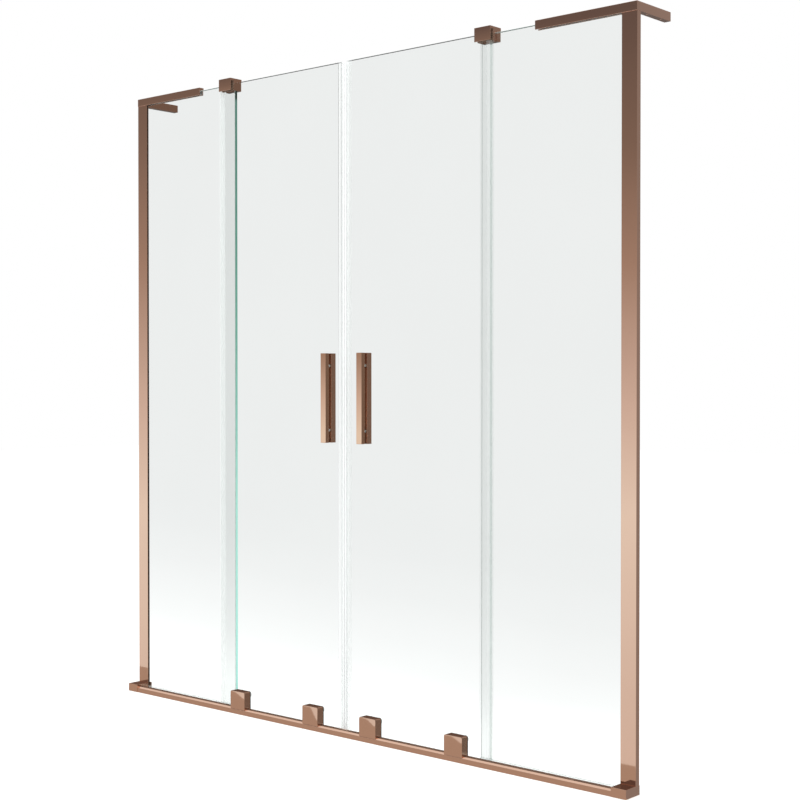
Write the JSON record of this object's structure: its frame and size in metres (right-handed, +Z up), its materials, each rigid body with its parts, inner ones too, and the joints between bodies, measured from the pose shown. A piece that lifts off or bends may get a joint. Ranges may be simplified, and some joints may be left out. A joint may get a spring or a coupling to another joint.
{
  "type": "sliding bath screen",
  "caption": "Clear glass bath screen with fixed outer panes and central doors that roll apart on a bottom rail, in rose-gold metal with wall arms at the top.",
  "frame": {"origin": "middle between the two walls, at the middle of the rail's depth, on the face that rests on the bath's rim", "axes": "+X to the right along the screen as seen from the room, +Y from the room towards the bath, +Z up"},
  "size_m": [1.48, 0.1544, 1.5045],
  "materials": {
    "rose_gold_metal": "polished rose-gold plating",
    "clear_glass": "clear toughened glass, green at its edges",
    "clear_seal": "clear soft PVC",
    "dark_rubber": "matt black rubber",
    "stainless_steel": "turned stainless steel",
    "nylon": "white nylon",
    "dark_plastic": "dark brown acetal",
    "magnet": "white flexible magnet strip"
  },
  "bodies": {
    "frame": {"wall_profile_left": "rose_gold_metal", "wall_profile_right": "rose_gold_metal", "profile_gasket_left": "dark_rubber", "profile_gasket_right": "dark_rubber", "fixed_glass_left": "clear_glass", "fixed_glass_right": "clear_glass", "sill_seal_left": "clear_seal", "sill_seal_right": "clear_seal", "top_bracket_left": "rose_gold_metal", "top_bracket_right": "rose_gold_metal", "bracket_liner_left": "clear_seal", "bracket_liner_right": "clear_seal", "arm_set_screws": "stainless_steel", "bottom_rail": "rose_gold_metal", "rail_stops": "nylon", "end_block_left": "rose_gold_metal", "end_block_right": "rose_gold_metal", "rail_dowels": "stainless_steel", "top_guide_left": "rose_gold_metal", "top_guide_right": "rose_gold_metal", "guide_liner_left": "dark_plastic", "guide_liner_right": "dark_plastic", "guide_screws": "stainless_steel"},
    "left_door": {"door_glass_left": "clear_glass", "carriage_left_outer": "rose_gold_metal", "carriage_left_inner": "rose_gold_metal", "carriage_pads_left": "dark_rubber", "glass_bolts_left": "stainless_steel", "glass_bushes_left": "nylon", "axles_left": "stainless_steel", "magnetic_seal_left": "clear_seal", "magnet_strip_left": "magnet", "side_seal_left": "clear_seal", "drip_seal_left": "clear_seal", "handle_front_left": "rose_gold_metal", "handle_back_left": "rose_gold_metal", "handle_bolts_left": "stainless_steel"},
    "right_door": {"door_glass_right": "clear_glass", "carriage_right_inner": "rose_gold_metal", "carriage_right_outer": "rose_gold_metal", "carriage_pads_right": "dark_rubber", "glass_bolts_right": "stainless_steel", "glass_bushes_right": "nylon", "axles_right": "stainless_steel", "magnetic_seal_right": "clear_seal", "magnet_strip_right": "magnet", "side_seal_right": "clear_seal", "drip_seal_right": "clear_seal", "handle_front_right": "rose_gold_metal", "handle_back_right": "rose_gold_metal", "handle_bolts_right": "stainless_steel"},
    "left_outer_roller": {"roller_left_outer": "nylon", "bearing_left_outer": "stainless_steel"},
    "left_inner_roller": {"roller_left_inner": "nylon", "bearing_left_inner": "stainless_steel"},
    "right_inner_roller": {"roller_right_inner": "nylon", "bearing_right_inner": "stainless_steel"},
    "right_outer_roller": {"roller_right_outer": "nylon", "bearing_right_outer": "stainless_steel"}
  },
  "joints": [
    {"name": "left_door_slide", "type": "slide", "parent": "frame", "child": "left_door", "axis": [-1, 0, 0], "range_m": [0, 0.28]},
    {"name": "right_door_slide", "type": "slide", "parent": "frame", "child": "right_door", "axis": [1, 0, 0], "range_m": [0, 0.28]},
    {"name": "left_outer_roller_spin", "type": "hinge", "parent": "left_door", "child": "left_outer_roller", "pos_m": [-0.3345, 0, 0.0238], "axis": [0, 1, 0], "range_deg": [-1400, 0]},
    {"name": "left_inner_roller_spin", "type": "hinge", "parent": "left_door", "child": "left_inner_roller", "pos_m": [-0.0945, 0, 0.0238], "axis": [0, 1, 0], "range_deg": [-1400, 0]},
    {"name": "right_inner_roller_spin", "type": "hinge", "parent": "right_door", "child": "right_inner_roller", "pos_m": [0.0805, 0, 0.0238], "axis": [0, 1, 0], "range_deg": [0, 1400]},
    {"name": "right_outer_roller_spin", "type": "hinge", "parent": "right_door", "child": "right_outer_roller", "pos_m": [0.3205, 0, 0.0238], "axis": [0, 1, 0], "range_deg": [0, 1400]}
  ],
  "couplings": [
    {"joint": "left_outer_roller_spin", "follows": "left_door_slide", "rad_per_m": -83.333},
    {"joint": "left_inner_roller_spin", "follows": "left_door_slide", "rad_per_m": -83.333},
    {"joint": "right_inner_roller_spin", "follows": "right_door_slide", "rad_per_m": 83.333},
    {"joint": "right_outer_roller_spin", "follows": "right_door_slide", "rad_per_m": 83.333}
  ]
}
